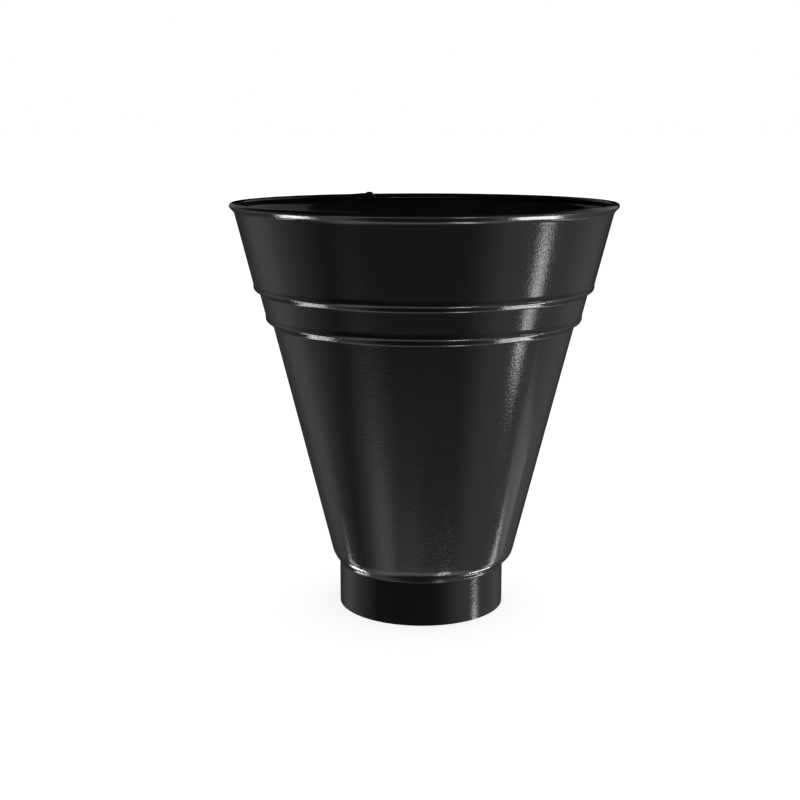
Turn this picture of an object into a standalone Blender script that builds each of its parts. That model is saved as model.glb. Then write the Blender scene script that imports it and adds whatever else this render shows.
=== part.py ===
"""Downpipe hopper head: a conical funnel of one coated steel sheet, in metres, +Z up.

The sheet is rolled to a cone and locked along one seam. Its foot is drawn in to a spigot that
enters the downpipe, two joggled steps stiffen the wall, and the top is flared and rolled.
The origin lies on the base, under the centre of the rim, and the seam is at the back.
"""
import math

import bmesh
import bpy
from mathutils import Vector

# Sheet
SHEET = 0.0006
LAYER_GAP = 0.00009

# Outer face of the wall, from the foot upwards
TAPER = math.radians(13.87)
SPIGOT_RADIUS = 0.0490
SPIGOT_LENGTH = 0.0260
SHOULDER_WIDTH = 0.00470
SHOULDER_LEAN = math.radians(44.4)
LONG_CONE_HEIGHT = 0.13835
LOWER_STEP_WIDTH = 0.00423
UPPER_STEP_WIDTH = 0.00362
STEP_LEAN = math.radians(56.0)
STEP_LAND = 0.0032
MIDDLE_BAND_HEIGHT = 0.01254
UPPER_BAND_HEIGHT = 0.04073
FLARE_WIDTH = 0.00233
FLARE_LEAN = math.radians(45.0)

# The spigot stands a little to one side of the cone's axis, and the shoulder takes that up
SPIGOT_DRIFT = -0.0010

# Bends, measured on the outer face
SPIGOT_BEND = 0.0012
SHOULDER_BEND = 0.012
STEP_FOOT_BEND = 0.0024
STEP_CREST_BEND = 0.0030
LAND_BEND = 0.0060
NECK_BEND = 0.0050

# Rolled rim
ROLL_RADIUS = 0.0017
ROLL_END_GAP = 0.00025

# Lock seam, standing on the inner face
SEAM_DIRECTION = math.radians(109.0)
SEAM_WIDTH = 0.0054
SEAM_END_SLACK = 0.00025
NOTCH_BELOW_NECK = 0.0067
LAP_LIFT = 0.00125
LAP_GAP = 0.00020
LAP_END_SLACK = 0.00030
LAP_NEAR_RAMP = 0.0016
LAP_FAR_RAMP = 0.0090

# Fineness
ROUND_SEGMENTS = 52
ROLL_SEGMENTS = 9
BLEND_ROWS = 3
COLLECTION = "downpipe_hopper_head"


def direction(lean):
    """Unit step up the profile for a wall that leans outwards by this angle from upright."""
    return Vector((math.sin(lean), math.cos(lean)))


def inward(step):
    """Unit normal of a profile step, pointing into the funnel."""
    return Vector((-step.y, step.x))


def corner_list():
    """Corners of the outer face as (point, bend radius, segments in the bend)."""
    point = Vector((SPIGOT_RADIUS, SPIGOT_LENGTH))
    corners = [(point.copy(), SPIGOT_BEND, 2)]
    point += direction(SHOULDER_LEAN) * (SHOULDER_WIDTH / math.sin(SHOULDER_LEAN))
    corners.append((point.copy(), SHOULDER_BEND, 2))
    point += direction(TAPER) * (LONG_CONE_HEIGHT / math.cos(TAPER))
    for step_width, band_height in (
        (LOWER_STEP_WIDTH, MIDDLE_BAND_HEIGHT),
        (UPPER_STEP_WIDTH, UPPER_BAND_HEIGHT),
    ):
        corners.append((point.copy(), STEP_FOOT_BEND, 1))
        point += direction(STEP_LEAN) * (step_width / math.sin(STEP_LEAN))
        corners.append((point.copy(), STEP_CREST_BEND, 3))
        point += Vector((0.0, STEP_LAND))
        corners.append((point.copy(), LAND_BEND, 1))
        point += direction(TAPER) * (band_height / math.cos(TAPER))
    corners.append((point.copy(), NECK_BEND, 2))
    point += direction(FLARE_LEAN) * (FLARE_WIDTH / math.sin(FLARE_LEAN))
    return corners, point


def bend_stations(before, corner, after, radius, segments):
    """Points and inward normals round one bend, from tangent point to tangent point."""
    step_in = (corner - before).normalized()
    step_out = (after - corner).normalized()
    turn = math.atan2(step_in.cross(step_out), step_in.dot(step_out))
    reach = radius * math.tan(abs(turn) / 2)
    side = math.copysign(1.0, turn)
    start = corner - step_in * reach
    centre = start + inward(step_in) * radius * side
    first = math.atan2(*reversed(start - centre))
    stations = []
    for k in range(segments + 1):
        angle = first + turn * k / segments
        ray = Vector((math.cos(angle), math.sin(angle)))
        stations.append((centre + ray * radius, -ray * side))
    return stations


def profile():
    """Stations up the outer face as (point, inward normal), foot to roll end.

    The second value is the row at which the lock seam starts to give way to the lap.
    """
    corners, flare_top = corner_list()
    points = [Vector((SPIGOT_RADIUS, 0.0))] + [c[0] for c in corners] + [flare_top]
    stations = [(points[0], Vector((-1.0, 0.0)))]
    neck_start = 0
    for k, (_, radius, segments) in enumerate(corners):
        bend = bend_stations(points[k], points[k + 1], points[k + 2], radius, segments)
        if k == len(corners) - 1:
            # Plain rows on the upper band, where the lock seam gives way to the lap.
            top, normal = bend[0]
            wall = direction(TAPER)
            neck_start = len(stations)
            for row in range(BLEND_ROWS):
                down = NOTCH_BELOW_NECK * (BLEND_ROWS - row) / BLEND_ROWS
                stations.append((top - wall * down, normal.copy()))
        stations.extend(bend)
    stations.extend(roll_stations(flare_top))
    return stations, neck_start


def roll_stations(flare_top):
    """The rolled rim, from the top of the flare over the crown to the open end inside."""
    flare = direction(FLARE_LEAN)
    centre = flare_top + inward(flare) * ROLL_RADIUS
    # The end corner of the sheet stops short of the inner face of the flare.
    flare_face = ROLL_RADIUS - SHEET
    close = math.acos((flare_face - ROLL_END_GAP) / ROLL_RADIUS)
    sweep = 2 * math.pi - close
    stations = []
    for k in range(ROLL_SEGMENTS + 1):
        angle = -FLARE_LEAN + sweep * k / ROLL_SEGMENTS
        ray = Vector((math.cos(angle), math.sin(angle)))
        stations.append((centre + ray * ROLL_RADIUS, -ray))
    return stations


def fold(centre, radius, angles):
    """Corners of a fold whose flats all touch a circle of this radius."""
    half = math.radians(22.5)
    reach = radius / math.cos(half)
    return [
        (centre[0] + reach * math.cos(math.radians(a)), centre[1] + reach * math.sin(math.radians(a)))
        for a in angles
    ]


def seam_section():
    """The two edges of the sheet as (along, in) points of its middle, locked and lapped.

    Along runs round the rim, counter-clockwise from above, and in is the depth from the wall's
    middle into the funnel. Each entry is (locked point, lapped point, kept in the lap).
    """
    pitch = SHEET + LAYER_GAP
    reach = (SEAM_WIDTH - 3 * pitch - SHEET) / 2
    outer, inner = -LAP_LIFT, SHEET + LAP_GAP - LAP_LIFT
    tongue = LAP_END_SLACK - reach

    # The edge from the clockwise side: out along the wall, folded back into the ridge.
    first = [((-reach + SEAM_END_SLACK, 2 * pitch), (reach, outer), False)]
    first.append(((reach, 2 * pitch), (reach, outer), False))
    for point in fold((reach, pitch), pitch, (67.5, 22.5, -22.5, -67.5)):
        first.append((point, (reach, outer), False))
    first.append(((reach, 0.0), (reach, outer), True))
    first.append(((-reach, 0.0), (-reach, outer), True))
    for share in (0.5, 1.0):
        along = -reach - LAP_NEAR_RAMP * share
        first.append(((along, 0.0), (along, outer * (1.0 - share)), True))

    # The edge from the other side: jogged over the first fold, then hooked round its end.
    jog_start = reach + 3 * pitch
    second = []
    for share in (1.0, 0.7, 0.4):
        along = jog_start + LAP_FAR_RAMP * share
        lift = inner * (1.0 - share) ** 2 * (1.0 + 2.0 * share)
        second.append(((along, 0.0), (along, lift), True))
    second.append(((jog_start, 0.0), (jog_start, inner), True))
    jog = fold((jog_start, pitch), pitch, (247.5, 202.5)) + fold((reach, pitch), 2 * pitch, (22.5, 67.5))
    for k, point in enumerate(jog):
        along = jog_start + (reach - jog_start) * (k + 1) / (len(jog) + 1)
        second.append((point, (along, inner), True))
    second.append(((reach, 3 * pitch), (reach, inner), True))
    second.append(((-reach, 3 * pitch), (tongue, inner), True))
    for point in fold((-reach, 2 * pitch), pitch, (112.5, 157.5, 202.5, 247.5)):
        second.append((point, (tongue, inner), False))
    second.append(((-reach, pitch), (tongue, inner), False))
    second.append(((reach - SEAM_END_SLACK, pitch), (tongue, inner), False))
    return first, second


def blend_share(row, notch_row, neck_row):
    """How far the seam has gone from lock to lap at this row."""
    share = min(max((row - notch_row) / (neck_row - notch_row), 0.0), 1.0)
    return share * share * (3.0 - 2.0 * share)


def sheet_point(station, along, depth, fixed_angle=None):
    """A point of the sheet's middle, from its profile station and its place in the section."""
    point, normal = station
    place = point + normal * (SHEET / 2 + depth)
    middle_radius = point.x + normal.x * SHEET / 2
    angle = fixed_angle if fixed_angle is not None else SEAM_DIRECTION + along / middle_radius
    rise = (place.y - SPIGOT_LENGTH) / (SHOULDER_WIDTH / math.tan(SHOULDER_LEAN))
    drift = SPIGOT_DRIFT * min(max(1.0 - rise, 0.0), 1.0)
    return Vector((place.x * math.cos(angle) + drift, place.x * math.sin(angle), place.y))


def hopper_body(collection):
    """One sheet: a grid laid along the profile and round the funnel, then given its thickness."""
    stations, notch_row = profile()
    neck_row = notch_row + BLEND_ROWS + 2
    first, second = seam_section()
    plain = ROUND_SEGMENTS - 1
    columns = len(first) + plain + len(second)
    rows = len(stations)

    bpy.ops.mesh.primitive_grid_add(x_subdivisions=columns - 1, y_subdivisions=rows - 1, size=1.0)
    body = bpy.context.object
    body.name = "hopper_body"
    body.data.name = "hopper_body"
    for owner in list(body.users_collection):
        owner.objects.unlink(body)
    collection.objects.link(body)

    mesh = bmesh.new()
    mesh.from_mesh(body.data)
    cell = {}
    for vertex in mesh.verts:
        column = round((vertex.co.x + 0.5) * (columns - 1))
        row = round((vertex.co.y + 0.5) * (rows - 1))
        cell[vertex] = (column, row)
    for vertex, (column, row) in cell.items():
        station = stations[row]
        share = blend_share(row, notch_row, neck_row)
        if column < len(first) or column >= len(first) + plain:
            edge = first[column] if column < len(first) else second[column - len(first) - plain]
            locked, lapped = Vector(edge[0]), Vector(edge[1])
            along, depth = locked.lerp(lapped, share)
            vertex.co = sheet_point(station, along, depth)
        else:
            middle_radius = station[0].x + station[1].x * SHEET / 2
            start = SEAM_DIRECTION + first[-1][0][0] / middle_radius
            end = SEAM_DIRECTION + second[0][0][0] / middle_radius - 2 * math.pi
            part = (column - len(first) + 1) / (plain + 1)
            vertex.co = sheet_point(station, 0.0, 0.0, start + (end - start) * part)

    # Above the notch only the lapped tongues of the two edges go on into the roll.
    gone = []
    for face in mesh.faces:
        spots = [cell[v] for v in face.verts]
        if min(row for _, row in spots) < notch_row:
            continue
        for column, _ in spots:
            if column < len(first):
                edge = first[column]
            elif column >= len(first) + plain:
                edge = second[column - len(first) - plain]
            else:
                continue
            if not edge[2]:
                gone.append(face)
                break
    bmesh.ops.delete(mesh, geom=gone, context="FACES")
    bmesh.ops.recalc_face_normals(mesh, faces=mesh.faces)
    mesh.to_mesh(body.data)
    mesh.free()

    thickness = body.modifiers.new("sheet", "SOLIDIFY")
    thickness.thickness = SHEET
    thickness.offset = 0.0
    thickness.use_even_offset = True
    thickness.use_quality_normals = True
    body.data.shade_smooth()
    body.data.set_sharp_from_angle(angle=math.radians(40.0))
    return body


def coating():
    """Black polyester coating on steel, with a satin gloss."""
    material = bpy.data.materials.new("black_coated_steel")
    material.use_nodes = True
    shader = next(n for n in material.node_tree.nodes if n.type == "BSDF_PRINCIPLED")
    shader.inputs["Base Color"].default_value = (0.0085, 0.0085, 0.009, 1.0)
    shader.inputs["Roughness"].default_value = 0.3
    shader.inputs["Metallic"].default_value = 0.0
    return material


def main():
    for item in list(bpy.data.objects):
        bpy.data.objects.remove(item, do_unlink=True)
    collection = bpy.data.collections.new(COLLECTION)
    bpy.context.scene.collection.children.link(collection)
    body = hopper_body(collection)
    body.data.materials.append(coating())


main()
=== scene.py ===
"""Downpipe hopper head of one black coated steel sheet, standing on a pale studio floor.

The sheet is drawn as one profile line of straight runs and bends, spun round the funnel's
axis, and its two edges are then folded into each other at the back, as the tinsmith does.
"""

import math

import bmesh
import bpy
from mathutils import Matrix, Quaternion, Vector


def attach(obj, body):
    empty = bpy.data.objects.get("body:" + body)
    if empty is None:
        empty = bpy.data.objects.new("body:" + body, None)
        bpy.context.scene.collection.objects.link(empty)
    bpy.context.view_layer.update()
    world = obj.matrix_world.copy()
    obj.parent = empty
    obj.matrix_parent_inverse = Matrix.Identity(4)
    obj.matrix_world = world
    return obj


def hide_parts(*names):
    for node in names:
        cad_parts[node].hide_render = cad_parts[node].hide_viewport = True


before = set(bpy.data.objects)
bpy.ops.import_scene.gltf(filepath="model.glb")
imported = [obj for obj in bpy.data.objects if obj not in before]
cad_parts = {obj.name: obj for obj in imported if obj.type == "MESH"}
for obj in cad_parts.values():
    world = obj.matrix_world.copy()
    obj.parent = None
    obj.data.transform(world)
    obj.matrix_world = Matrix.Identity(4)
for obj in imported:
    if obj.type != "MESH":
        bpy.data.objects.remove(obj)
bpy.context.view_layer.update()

# The sheet
SHEET = 0.0006
LAYER_GAP = 0.00009

# Outer face of the wall, from the foot upwards
TAPER = math.radians(13.87)
SPIGOT_RADIUS = 0.0490
SPIGOT_LENGTH = 0.0260
SHOULDER_WIDTH = 0.00470
SHOULDER_LEAN = math.radians(44.4)
LONG_CONE_HEIGHT = 0.13835
LOWER_STEP_WIDTH = 0.00423
UPPER_STEP_WIDTH = 0.00362
STEP_LEAN = math.radians(56.0)
STEP_LAND = 0.0032
MIDDLE_BAND_HEIGHT = 0.01254
UPPER_BAND_HEIGHT = 0.04073
FLARE_WIDTH = 0.00233
FLARE_LEAN = math.radians(45.0)

# The spigot stands a little to one side of the cone's axis, and the shoulder takes that up.
SPIGOT_DRIFT = -0.0010

# Bends, measured on the outer face
SPIGOT_BEND = 0.0012
SHOULDER_BEND = 0.012
STEP_FOOT_BEND = 0.0024
STEP_CREST_BEND = 0.0030
LAND_BEND = 0.0060
NECK_BEND = 0.0050

# Rolled rim
ROLL_RADIUS = 0.0017
ROLL_END_GAP = 0.00025

# Lock seam on the inner face, and the plain lap that carries it through the roll
SEAM_DIRECTION = math.radians(109.0)
SEAM_WIDTH = 0.0054
SEAM_END_SLACK = 0.00025
SEAM_MARGIN = math.radians(6.5)
NOTCH_BELOW_NECK = 0.0067
LAP_LIFT = 0.00125
LAP_GAP = 0.00020
LAP_END_SLACK = 0.00030
LAP_NEAR_RAMP = 0.0016
# One layer with its gap, and half the flat between the seam's folds
LAYER_PITCH = SHEET + LAYER_GAP
FLAT_REACH = (SEAM_WIDTH - 3 * LAYER_PITCH - SHEET) / 2
# Where the extra columns stand that let the sheet swing from the locked seam to the lap: as
# shares of the near ramp, and of the margin beside the seam
RAMP_SHARES = (1.0, 0.8, 0.6, 0.4, 0.2)
MARGIN_SHARES = (0.88, 0.76, 0.64, 0.52, 0.40, 0.28, 0.16)

# Fineness of the mesh
WALL_ROW = 0.005
BLEND_ROW = 0.0013
BEND_STEP = math.radians(7.0)
ROLL_STEP = math.radians(10.0)
FOLD_STEP = math.radians(30.0)
ROUND_STEPS = 240
# A straight run may be longer by this share of a row before it gets one row more.
ROW_SLACK = 0.01
# The lap is complete this many rows into the neck's bend.
ROWS_INTO_NECK = 2
# Vertices this near to an upright edge of the sheet belong to it.
SAME_TURN = math.radians(0.05)
# Faces that meet at less than this angle are shaded as one surface, and flat ones lead.
SMOOTH_ANGLE = math.radians(40.0)
FLAT_FACE_WEIGHT = 70


# Profile of the middle of the sheet, in the plane through the axis: x outwards, y up.


def direction(lean):
    """Unit step up the wall, leaning outwards by this angle from upright."""
    return Vector((math.sin(lean), math.cos(lean)))


def inward(step):
    """Unit normal of a step up the wall, pointing into the funnel."""
    return Vector((-step.y, step.x))


def outer_corners():
    """Foot, corners with their bend radius, and top of the flare, on the outer face."""
    point = Vector((SPIGOT_RADIUS, 0.0))
    corners = [(point.copy(), 0.0)]
    point += Vector((0.0, SPIGOT_LENGTH))
    corners.append((point.copy(), SPIGOT_BEND))
    point += direction(SHOULDER_LEAN) * (SHOULDER_WIDTH / math.sin(SHOULDER_LEAN))
    corners.append((point.copy(), SHOULDER_BEND))
    point += direction(TAPER) * (LONG_CONE_HEIGHT / math.cos(TAPER))
    for step_width, band_height in (
        (LOWER_STEP_WIDTH, MIDDLE_BAND_HEIGHT),
        (UPPER_STEP_WIDTH, UPPER_BAND_HEIGHT),
    ):
        corners.append((point.copy(), STEP_FOOT_BEND))
        point += direction(STEP_LEAN) * (step_width / math.sin(STEP_LEAN))
        corners.append((point.copy(), STEP_CREST_BEND))
        point += Vector((0.0, STEP_LAND))
        corners.append((point.copy(), LAND_BEND))
        point += direction(TAPER) * (band_height / math.cos(TAPER))
    corners.append((point.copy(), NECK_BEND))
    point += direction(FLARE_LEAN) * (FLARE_WIDTH / math.sin(FLARE_LEAN))
    corners.append((point.copy(), 0.0))
    return corners


def run_straight(start, end, row):
    """Extrudes the line's end vertex along a straight run, in rows of about this length."""
    rows = max(1, math.ceil((end - start).length / row - ROW_SLACK))
    step = (end - start) / rows
    shift = {"value": (step.x, 0.0, step.y)}
    for _ in range(rows):
        bpy.ops.mesh.extrude_vertices_move(TRANSFORM_OT_translate=shift)


def run_bend(centre, turn, step):
    """Spins the line's end vertex round a bend."""
    steps = max(2, round(abs(turn) / step))
    bpy.ops.mesh.spin(steps=steps, angle=turn, center=(centre.x, 0.0, centre.y),
                      axis=(0, 1, 0))


def draw_profile():
    """Draws the line from the foot to the free end of the roll. Gives the notch's height."""
    corners = outer_corners()
    half = SHEET / 2
    place = Vector((SPIGOT_RADIUS - half, 0.0))
    for k in range(1, len(corners) - 1):
        corner, radius = corners[k]
        step_in = (corner - corners[k - 1][0]).normalized()
        step_out = (corners[k + 1][0] - corner).normalized()
        turn = math.atan2(step_in.cross(step_out), step_in.dot(step_out))
        side = math.copysign(1.0, turn)
        bend_radius = radius - side * half
        both = inward(step_in) + inward(step_out)
        middle = corner + both * (half / (1.0 + inward(step_in).dot(inward(step_out))))
        start = middle - step_in * (bend_radius * math.tan(abs(turn) / 2))
        if k == len(corners) - 2:
            notch = start - step_in * NOTCH_BELOW_NECK
            notch_height = notch.y
            run_straight(place, notch, WALL_ROW)
            run_straight(notch, start, BLEND_ROW)
        else:
            run_straight(place, start, WALL_ROW)
        run_bend(start + inward(step_in) * bend_radius * side, turn, BEND_STEP)
        place = middle + step_out * (bend_radius * math.tan(abs(turn) / 2))
    flare = direction(FLARE_LEAN)
    flare_end = corners[-1][0] + inward(flare) * half
    run_straight(place, flare_end, WALL_ROW)
    # The free end of the roll stops short of the inner face of the flare.
    close = math.acos((ROLL_RADIUS - SHEET - ROLL_END_GAP) / ROLL_RADIUS)
    run_bend(corners[-1][0] + inward(flare) * ROLL_RADIUS, 2 * math.pi - close, ROLL_STEP)
    return notch_height


def number_rows(body):
    """Numbers the profile's vertices from the foot, and lists their places and normals."""
    mesh = bmesh.from_edit_mesh(body.data)
    row_layer = mesh.verts.layers.int.new("row")
    mesh.verts.ensure_lookup_table()
    vertex = next(v for v in mesh.verts if len(v.link_edges) == 1 and v.co.z < SHEET)
    chain = [vertex]
    edge = vertex.link_edges[0]
    while True:
        vertex = edge.other_vert(vertex)
        chain.append(vertex)
        onward = [e for e in vertex.link_edges if e != edge]
        if not onward:
            break
        edge = onward[0]
    places = [Vector((v.co.x, v.co.z)) for v in chain]
    stations = []
    for k, vertex in enumerate(chain):
        vertex[row_layer] = k
        before, after = places[max(k - 1, 0)], places[min(k + 1, len(chain) - 1)]
        up = Vector((0.0, 0.0))
        if k > 0:
            up += (places[k] - before).normalized()
        if k < len(chain) - 1:
            up += (after - places[k]).normalized()
        stations.append((places[k], inward(up.normalized())))
    bmesh.update_edit_mesh(body.data)
    return stations


# The seam's section: how far each column lies round the rim from the seam's middle, in
# metres, and how deep into the funnel, first locked and then lapped for the roll. A third
# number is the share of the margin that the column takes. The last value of a column says
# whether it goes on above the notch.


def fold(centre, radius, start, end):
    """Corners of a fold whose flats all touch a circle of this radius."""
    parts = round(abs(end - start) / FOLD_STEP)
    half = (end - start) / parts / 2
    reach = radius / math.cos(half)
    corners = []
    for k in range(parts):
        angle = start + half * (2 * k + 1)
        corners.append((centre[0] + reach * math.cos(angle),
                        centre[1] + reach * math.sin(angle)))
    return corners


def ease(share):
    """Smooth rise from 0 to 1."""
    share = min(max(share, 0.0), 1.0)
    return share * share * (3.0 - 2.0 * share)


def tucked_edge():
    """The edge that is folded back inside the seam, from the wall to its end."""
    pitch, reach = LAYER_PITCH, FLAT_REACH
    columns = []
    for share in RAMP_SHARES:
        along = -reach - LAP_NEAR_RAMP * share
        columns.append(((along, 0.0), (along, -LAP_LIFT * ease(1.0 - share)), True))
    columns.append(((-reach, 0.0), (-reach, -LAP_LIFT), True))
    columns.append(((0.0, 0.0), (0.0, -LAP_LIFT), True))
    columns.append(((reach, 0.0), (reach, -LAP_LIFT), True))
    for point in fold((reach, pitch), pitch, -math.pi / 2, math.pi / 2):
        columns.append((point, point, False))
    columns.append(((reach, 2 * pitch), (reach, 2 * pitch), False))
    end = -reach + SEAM_END_SLACK
    columns.append(((end, 2 * pitch), (end, 2 * pitch), False))
    return columns


def covering_edge():
    """The edge that is jogged over the tucked one and hooked round its end, from the wall."""
    pitch, reach = LAYER_PITCH, FLAT_REACH
    lift = SHEET + LAP_GAP - LAP_LIFT
    jog_start = reach + 3 * pitch
    columns = []
    for share in MARGIN_SHARES:
        # These columns share out the margin, which narrows in millimetres towards the foot.
        rise = lift * ease(1.0 - share)
        columns.append(((jog_start, 0.0, share), (jog_start, rise, share), True))
    columns.append(((jog_start, 0.0), (jog_start, lift), True))
    jog = fold((jog_start, pitch), pitch, -math.pi / 2, -math.pi)
    jog += fold((reach, pitch), 2 * pitch, 0.0, math.pi / 2)
    for k, point in enumerate(jog):
        along = jog_start + (reach - jog_start) * (k + 1) / (len(jog) + 1)
        columns.append((point, (along, lift), True))
    columns.append(((reach, 3 * pitch), (reach, lift), True))
    columns.append(((0.0, 3 * pitch), (0.0, lift), True))
    columns.append(((-reach, 3 * pitch), (LAP_END_SLACK - reach, lift), True))
    for point in fold((-reach, 2 * pitch), pitch, math.pi / 2, 3 * math.pi / 2):
        columns.append((point, point, False))
    columns.append(((-reach, pitch), (-reach, pitch), False))
    end = reach - SEAM_END_SLACK
    columns.append(((end, pitch), (end, pitch), False))
    return columns


def lay_point(station, column, share):
    """Where a column of the seam lies at one row, for a seam in the middle of the margin."""
    place, normal = station
    locked, lapped, _ = column
    along = locked[0] + (lapped[0] - locked[0]) * share
    depth = locked[1] + (lapped[1] - locked[1]) * share
    angle = along / place.x
    if len(locked) == 3:
        angle += (SEAM_MARGIN - angle) * locked[2]
    angle -= SEAM_MARGIN
    point = place + normal * depth
    return Vector((point.x * math.cos(angle), point.x * math.sin(angle), point.y))


def select_vertices(body, wanted):
    """Selects the vertices for which this test holds, in edit mode."""
    mesh = bmesh.from_edit_mesh(body.data)
    for vertex in mesh.verts:
        vertex.select = wanted(vertex)
    mesh.select_flush_mode()
    bmesh.update_edit_mesh(body.data)


def lay_edge(body, at_start, columns, stations, notch_row, neck_row):
    """Extrudes one upright edge of the sheet, column by column, and lays it to the section."""
    bpy.ops.mesh.select_mode(type="VERT")
    bpy.ops.mesh.select_all(action="DESELECT")
    edge_turn = 0.0 if at_start else -2 * SEAM_MARGIN
    select_vertices(body, lambda vertex: abs(
        math.atan2(vertex.co.y, vertex.co.x) - edge_turn) < SAME_TURN)
    for column in columns:
        if not column[2]:
            # Above the notch the fold is cut away, so that the roll has two layers only.
            mesh = bmesh.from_edit_mesh(body.data)
            row_layer = mesh.verts.layers.int["row"]
            for vertex in mesh.verts:
                if vertex.select and vertex[row_layer] > notch_row:
                    vertex.select = False
            mesh.select_flush_mode()
            bmesh.update_edit_mesh(body.data)
        bpy.ops.mesh.extrude_edges_move(TRANSFORM_OT_translate={"value": (0.0, 0.0, 0.0)})
        mesh = bmesh.from_edit_mesh(body.data)
        row_layer = mesh.verts.layers.int["row"]
        for vertex in mesh.verts:
            if vertex.select:
                row = vertex[row_layer]
                share = ease((row - notch_row) / (neck_row - notch_row))
                vertex.co = lay_point(stations[row], column, share)
        bmesh.update_edit_mesh(body.data)


def add_modifier(piece, name, kind, **settings):
    """Adds a modifier with its settings and applies it."""
    modifier = piece.modifiers.new(name, kind)
    for setting, value in settings.items():
        setattr(modifier, setting, value)
    bpy.context.view_layer.objects.active = piece
    bpy.ops.object.modifier_apply(modifier=name)


def drift_spigot(body):
    """Moves the spigot to the side, less and less from its top to the top of the shoulder."""
    bpy.ops.object.mode_set(mode="EDIT")
    select_vertices(body, lambda vertex: vertex.co.z < SPIGOT_LENGTH)
    bpy.ops.transform.translate(value=(SPIGOT_DRIFT, 0.0, 0.0), use_proportional_edit=True,
                                proportional_edit_falloff="LINEAR",
                                proportional_size=SHOULDER_WIDTH / math.sin(SHOULDER_LEAN))
    bpy.ops.object.mode_set(mode="OBJECT")


def make_hopper():
    """The whole funnel: profile, spin, folded edges, thickness."""
    bpy.ops.object.select_all(action="DESELECT")
    bpy.ops.mesh.primitive_plane_add(size=SHEET, location=(SPIGOT_RADIUS - SHEET / 2, 0.0, 0.0))
    body = bpy.context.object
    body.name = body.data.name = "hopper_head"
    bpy.ops.object.transform_apply(location=True, rotation=True, scale=True)
    bpy.ops.object.mode_set(mode="EDIT")
    bpy.ops.mesh.merge(type="CENTER")
    notch_height = draw_profile()
    stations = number_rows(body)
    notch_row = min(range(len(stations)), key=lambda k: abs(stations[k][0].y - notch_height))
    neck_row = notch_row + round(NOTCH_BELOW_NECK / BLEND_ROW) + ROWS_INTO_NECK

    bpy.ops.mesh.select_all(action="SELECT")
    around = 2 * math.pi - 2 * SEAM_MARGIN
    bpy.ops.mesh.spin(steps=ROUND_STEPS, angle=-around, center=(0, 0, 0), axis=(0, 0, 1))
    lay_edge(body, True, covering_edge(), stations, notch_row, neck_row)
    lay_edge(body, False, tucked_edge(), stations, notch_row, neck_row)
    bpy.ops.object.mode_set(mode="OBJECT")
    body.data.attributes.remove(body.data.attributes["row"])
    body.rotation_euler = (0.0, 0.0, SEAM_DIRECTION + SEAM_MARGIN)
    bpy.ops.object.transform_apply(location=True, rotation=True, scale=True)
    drift_spigot(body)

    add_modifier(body, "sheet thickness", "SOLIDIFY", thickness=SHEET, offset=0.0,
                 use_even_offset=True, use_quality_normals=True)
    bpy.ops.object.shade_smooth_by_angle(angle=SMOOTH_ANGLE)
    add_modifier(body, "flat faces lead", "WEIGHTED_NORMAL", keep_sharp=True,
                 weight=FLAT_FACE_WEIGHT)
    return body


# Finishes

# The grain of the real coating is 0.1 to 0.3 mm; it is drawn at 1.1 mm, the finest that the
# picture can show.
GRAIN_SIZE = 0.0011
GRAIN_DEPTH = 0.000036
# Patches of handling and of dust
GLOSS_PATCH_SIZE = 0.035
DUST_PATCH_SIZE = 0.060


def colour(hex_code):
    """Linear colour from an sRGB hex code."""
    channels = []
    for k in (1, 3, 5):
        value = int(hex_code[k:k + 2], 16) / 255
        channels.append(value / 12.92 if value <= 0.04045 else ((value + 0.055) / 1.055) ** 2.4)
    return (*channels, 1.0)


def add_node(tree, kind, settings=None, links=None):
    """Adds one node. Settings are properties or input values, links are the inputs' sources.

    An input goes by its name, or by its number where several have the same name.
    """
    node = tree.nodes.new(kind)
    for name, value in (settings or {}).items():
        if isinstance(name, int) or name in node.inputs:
            node.inputs[name].default_value = value
        else:
            setattr(node, name, value)
    for name, source in (links or {}).items():
        tree.links.new(source, node.inputs[name])
    return node


def new_material(name):
    """A node material with its shader, which starts as one plain coat."""
    material = bpy.data.materials.new(name)
    material.use_nodes = True
    shader = material.node_tree.nodes["Principled BSDF"]
    return material, material.node_tree, shader


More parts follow.
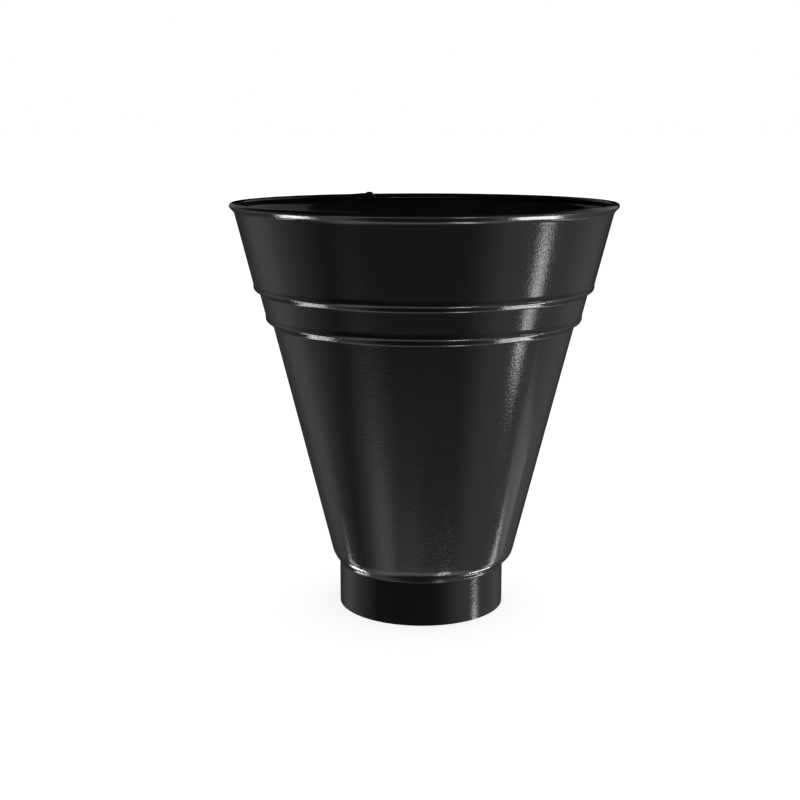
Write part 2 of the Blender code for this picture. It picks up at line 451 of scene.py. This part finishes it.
def black_polyester_coating():
    """Polyester coil coating on galvanised steel, as gutter makers use: rolled on and stoved.

    It gives a satin black whose gloss shows softly blurred lamps. The roller leaves a fine
    grain of glossier and duller specks, so that bright reflections break up into small
    sparkles, and handling leaves the gloss and the black a little uneven.
    """
    material, tree, shader = new_material("black_polyester_coated_steel")
    place = add_node(tree, "ShaderNodeTexCoord").outputs["Object"]

    grain = add_node(tree, "ShaderNodeTexNoise", {"Scale": 1 / GRAIN_SIZE, "Detail": 0.0},
                     {"Vector": place})
    relief = add_node(tree, "ShaderNodeBump", {"Strength": 1.0, "Distance": GRAIN_DEPTH},
                      {"Height": grain.outputs[0]})
    tree.links.new(relief.outputs[0], shader.inputs["Normal"])

    # Gloss: patches between a clean and a slightly dulled coating, and the grain's dull specks.
    patches = add_node(tree, "ShaderNodeTexNoise",
                       {"Scale": 1 / GLOSS_PATCH_SIZE, "Detail": 3.0}, {"Vector": place})
    wear = add_node(tree, "ShaderNodeMapRange",
                    {"From Min": 0.3, "From Max": 0.7, "To Min": 0.07, "To Max": 0.12},
                    {"Value": patches.outputs[0]})
    specks = add_node(tree, "ShaderNodeMapRange",
                      {"From Min": 0.45, "From Max": 0.60, "To Min": 0.0, "To Max": 0.08},
                      {"Value": grain.outputs[0]})
    gloss = add_node(tree, "ShaderNodeMath", {"operation": "ADD"},
                     {0: wear.outputs[0], 1: specks.outputs[0]})
    tree.links.new(gloss.outputs[0], shader.inputs["Roughness"])

    # Black: a trace of dust lies in other patches.
    dust = add_node(tree, "ShaderNodeTexNoise", {"Scale": 1 / DUST_PATCH_SIZE, "Detail": 4.0},
                    {"Vector": place})
    black = add_node(tree, "ShaderNodeValToRGB", links={"Fac": dust.outputs[0]})
    black.color_ramp.elements[0].position = 0.35
    black.color_ramp.elements[0].color = colour("#0A0A0A")
    black.color_ramp.elements[1].position = 0.75
    black.color_ramp.elements[1].color = colour("#11110F")
    tree.links.new(black.outputs[0], shader.inputs["Base Color"])
    return material


# Studio. Directions are in degrees as seen from the funnel: azimuth 0 is the camera's side,
# 90 the right and 180 the back; elevation is above the horizon.

LAMP_DISTANCE = 3.0
LAMP_TARGET = Vector((0.0, 0.0, 0.12))
# Each lamp: name, azimuth, elevation, width, height, radiance, lean.
LAMPS = (
    ("right_strip", 81.6, -25.0, 4.4, 8.5, 6.4, 0),
    ("right_strip_edge", 81.6, -25.0, 9.5, 8.5, 3.6, 0),
    ("front_low", 38, -59, 9, 16, 8.0, 0),
    ("right_low", 122.5, -52, 7, 18, 13.0, -26),
    ("right_middle", 109, -39, 8, 12, 4.0, -26),
    ("right_glow", 114, -29, 22, 7, 0.45, 0),
    ("left_low", -130, -46.5, 6, 14, 12.0, 30),
    ("left_middle", -113, -39, 6, 10, 4.0, 30),
    ("right_rear", 120, 16, 66, 40, 0.42, 0),
    ("left_rear", -152, 22, 36, 44, 0.20, 0),
)

TENT_RADIUS = 4.0
# How bright each panel of painted reflection on the tent is: by elevation, and how much of that
# is left by azimuth.
# Where panels overlap the brighter one shows.
# Painted reflections that glow in the coating's gloss and light nothing: low in front, low at the
# left, at the left, and along both sides.
PAINTED_REFLECTION_IN_FRONT = (
    ((-90, 0.10), (-74, 0.14), (-69, 0.60), (-65, 1.30), (-58, 1.50), (-50, 0.95),
     (-46, 0.36), (-43, 0.29), (-40, 0.25), (-37, 0.20), (-34, 0.15), (-30, 0.16),
     (-24, 0.12), (-20, 0.07), (0, 0.04), (20, 0.03), (90, 0.02)),
    ((-180, 0.10), (-140, 0.12), (-100, 0.50), (-70, 1.00), (70, 1.00), (100, 0.50),
     (140, 0.12), (180, 0.10)))
PAINTED_REFLECTION_LOW_LEFT = (
    ((-90, 0.0), (-50, 0.95), (-46, 0.70), (-44, 0.55), (-42, 0.38), (-39, 0.24),
     (-35, 0.0), (90, 0.0)),
    ((-180, 0.0), (-110, 0.1), (-75, 0.6), (-50, 1.00), (-12, 1.00), (6, 0.6), (40, 0.5),
     (80, 0.0), (180, 0.0)))
PAINTED_REFLECTION_LEFT = (
    ((-90, 0.0), (-52, 0.8), (-46, 1.30), (-42, 1.22), (-40, 0.98), (-38, 0.74),
     (-36, 0.58), (-34, 0.44), (-32, 0.27), (-30, 0.23), (-27, 0.20), (-20, 0.08),
     (0, 0.0), (90, 0.0)),
    ((-180, 0.0), (-90, 0.2), (-77, 0.35), (-69, 0.52), (-61, 0.80), (-54, 1.00),
     (-46, 1.00), (-40, 0.70), (-34, 0.50), (-20, 0.2), (0, 0.0), (180, 0.0)))
PAINTED_REFLECTION_FAR_LEFT = (
    ((-90, 0.1), (-60, 0.3), (-38, 0.45), (-33, 0.60), (-28, 0.95), (-22, 1.0),
     (-12, 1.0), (0, 0.3), (12, 0.0), (90, 0.0)),
    ((-180, 0.03), (-150, 0.08), (-140, 0.16), (-127, 0.36), (-115, 0.50), (-97, 0.40),
     (-81, 0.28), (-70, 0.18), (-60, 0.0), (180, 0.0)))
PAINTED_REFLECTION_RIGHT = (
    ((-90, 0.2), (-60, 0.6), (-45, 0.9), (-25, 1.0), (-12, 1.0), (0, 0.3), (12, 0.0),
     (90, 0.0)),
    ((-180, 0.0), (15, 0.0), (22, 0.12), (32, 0.20), (43, 0.38), (52, 0.58), (65, 0.64),
     (90, 0.50), (100, 0.44), (115, 0.40), (127, 0.36), (140, 0.22), (155, 0.08),
     (180, 0.03)))
PAINTED_REFLECTION_PANELS = (PAINTED_REFLECTION_IN_FRONT, PAINTED_REFLECTION_LOW_LEFT, PAINTED_REFLECTION_LEFT, PAINTED_REFLECTION_FAR_LEFT,
               PAINTED_REFLECTION_RIGHT)

WHITE = (1.0, 1.0, 1.0, 1.0)
# Strength of the surroundings as light for the object, and of the floor's own glow to the eye
LIT_STRENGTH = 0.5
FLOOR_GLOW = 0.71
FLOOR_SIZE = 200.0

# The photograph's camera, fitted to the silhouette; angles in degrees, lens in millimetres
CAMERA_PLACE = (0.0, -0.7810, 0.2780)
CAMERA_DOWN = 11.2440
CAMERA_LEFT = 1.0080
LENS = 60.4
SENSOR_WIDTH = 36.0


def softbox(name, azimuth, elevation, width, height, radiance, lean):
    """A soft rectangular lamp in this direction, its size in degrees too.

    It leans over by this many degrees, to the right as the funnel sees it.
    """
    across = 2 * LAMP_DISTANCE * math.tan(math.radians(width) / 2)
    high = 2 * LAMP_DISTANCE * math.tan(math.radians(height) / 2)
    turn, rise = math.radians(azimuth), math.radians(elevation)
    away = Vector((math.sin(turn) * math.cos(rise), -math.cos(turn) * math.cos(rise),
                   math.sin(rise)))
    bpy.ops.object.light_add(type="AREA", location=LAMP_TARGET + away * LAMP_DISTANCE)
    lamp = bpy.context.object
    lamp.name = lamp.data.name = name
    lamp.data.shape = "RECTANGLE"
    lamp.data.size = across
    lamp.data.size_y = high
    # A flat lamp that looks this bright from every side sends out pi times as much.
    lamp.data.energy = radiance * across * high * math.pi
    upright = (-away).to_track_quat("-Z", "Y")
    leaning = Quaternion((0.0, 0.0, 1.0), math.radians(lean))
    lamp.rotation_euler = (upright @ leaning).to_euler()
    lamp.visible_camera = False


def camera():
    """The photograph's camera: a little above the rim, looking slightly down and left."""
    bpy.ops.object.camera_add(location=CAMERA_PLACE)
    view = bpy.context.object
    view.name = view.data.name = "camera"
    view.rotation_euler = (math.radians(90.0 - CAMERA_DOWN), 0.0, math.radians(CAMERA_LEFT))
    view.data.sensor_width = SENSOR_WIDTH
    view.data.lens = LENS
    view.data.clip_start = 0.01
    view.data.clip_end = FLOOR_SIZE
    bpy.context.scene.camera = view


def white_to_the_eye(tree):
    """1 for rays from the camera and for mirrored and refracted ones, else 0."""
    rays = add_node(tree, "ShaderNodeLightPath")
    glossy = add_node(tree, "ShaderNodeMath", {"operation": "MAXIMUM"},
                      {0: rays.outputs["Is Camera Ray"], 1: rays.outputs["Is Glossy Ray"]})
    clear = add_node(tree, "ShaderNodeMath", {"operation": "MAXIMUM"},
                     {0: glossy.outputs[0], 1: rays.outputs["Is Transmission Ray"]})
    return clear.outputs[0]


def backdrop():
    """White surroundings for the eye, and soft light from all round for the object."""
    world = bpy.data.worlds.new("white_studio")
    bpy.context.scene.world = world
    world.use_nodes = True
    tree = world.node_tree
    lit = tree.nodes["Background"]
    lit.inputs["Color"].default_value = WHITE
    lit.inputs["Strength"].default_value = LIT_STRENGTH
    seen = add_node(tree, "ShaderNodeBackground", {"Color": WHITE, "Strength": 1.0})
    mix = add_node(tree, "ShaderNodeMixShader",
                   links={0: white_to_the_eye(tree), 1: lit.outputs[0], 2: seen.outputs[0]})
    tree.links.new(mix.outputs[0], tree.nodes["World Output"].inputs["Surface"])


def floor():
    """A pale floor, out to the horizon, that keeps the object's shadow."""
    bpy.ops.object.select_all(action="DESELECT")
    bpy.ops.mesh.primitive_plane_add(size=FLOOR_SIZE, location=(0.0, 0.0, 0.0))
    ground = bpy.context.object
    ground.name = ground.data.name = "studio_floor"
    material, tree, shader = new_material("pale_matt_floor")
    shader.inputs["Base Color"].default_value = colour("#E6E6E6")
    shader.inputs["Roughness"].default_value = 0.9
    glow = add_node(tree, "ShaderNodeEmission", {"Color": WHITE, "Strength": FLOOR_GLOW})
    both = add_node(tree, "ShaderNodeAddShader",
                    links={0: shader.outputs[0], 1: glow.outputs[0]})
    mix = add_node(tree, "ShaderNodeMixShader",
                   links={0: white_to_the_eye(tree), 1: shader.outputs[0], 2: both.outputs[0]})
    tree.links.new(mix.outputs[0], tree.nodes["Material Output"].inputs["Surface"])
    ground.data.materials.append(material)
    ground.visible_glossy = False
    ground.visible_shadow = False
    return ground


def level_by(tree, source, limit, stops):
    """Brightness from a value between -limit and +limit, by (value, brightness) stops."""
    share = add_node(tree, "ShaderNodeMapRange", {"From Min": -limit, "From Max": limit},
                     {"Value": source})
    shade = add_node(tree, "ShaderNodeValToRGB", links={"Fac": share.outputs[0]})
    ramp = shade.color_ramp
    ramp.elements.remove(ramp.elements[1])
    for k, (value, level) in enumerate(stops):
        spot = (value / limit + 1) / 2
        stop = ramp.elements[0] if k == 0 else ramp.elements.new(spot)
        stop.position = spot
        stop.color = (level, level, level, 1.0)
    return shade.outputs[0]


def painted_reflection_tent():
    """A sphere all round, seen only in the coating's gloss: a painted reflection, dark with paler
    glowing panels, that lights nothing else.
    """
    bpy.ops.object.select_all(action="DESELECT")
    bpy.ops.mesh.primitive_uv_sphere_add(segments=96, ring_count=64, radius=TENT_RADIUS,
                                         location=LAMP_TARGET)
    tent = bpy.context.object
    tent.name = tent.data.name = "painted_reflection_tent"
    tent.visible_camera = False
    tent.visible_diffuse = False
    tent.visible_transmission = False
    tent.visible_shadow = False
    material = bpy.data.materials.new("painted_reflection_glow")
    material.use_nodes = True
    tree = material.node_tree
    tree.nodes.clear()
    place = add_node(tree, "ShaderNodeTexCoord")
    axes = add_node(tree, "ShaderNodeSeparateXYZ", links={"Vector": place.outputs["Object"]})
    rise = add_node(tree, "ShaderNodeMath", {"operation": "DIVIDE", 1: TENT_RADIUS},
                    {0: axes.outputs["Z"]})
    towards = add_node(tree, "ShaderNodeMath", {"operation": "MULTIPLY", 1: -1.0},
                       {0: axes.outputs["Y"]})
    turn = add_node(tree, "ShaderNodeMath", {"operation": "ARCTAN2"},
                    {0: axes.outputs["X"], 1: towards.outputs[0]})

    brightest = None
    for heights, turns in PAINTED_REFLECTION_PANELS:
        by_height = level_by(tree, rise.outputs[0], 1.0,
                             [(math.sin(math.radians(angle)), level) for angle, level in heights])
        by_turn = level_by(tree, turn.outputs[0], math.pi,
                           [(math.radians(angle), level) for angle, level in turns])
        panel = add_node(tree, "ShaderNodeMath", {"operation": "MULTIPLY"},
                         {0: by_height, 1: by_turn})
        if brightest:
            panel = add_node(tree, "ShaderNodeMath", {"operation": "MAXIMUM"},
                             {0: brightest.outputs[0], 1: panel.outputs[0]})
        brightest = panel
    # This glow is a painted reflection, not a lamp: only the coating's gloss sees it.
    glow = add_node(tree, "ShaderNodeEmission", {"Color": WHITE},
                    {"Strength": brightest.outputs[0]})
    add_node(tree, "ShaderNodeOutputMaterial", links={"Surface": glow.outputs[0]})
    material.cycles.emission_sampling = "NONE"
    tent.data.materials.append(material)
    return tent


hopper = make_hopper()
hopper.data.materials.append(black_polyester_coating())
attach(hopper, "root")
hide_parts("hopper_body")

floor()
painted_reflection_tent()
backdrop()
for lamp_values in LAMPS:
    softbox(*lamp_values)
camera()

bpy.context.scene.view_settings.view_transform = "Standard"
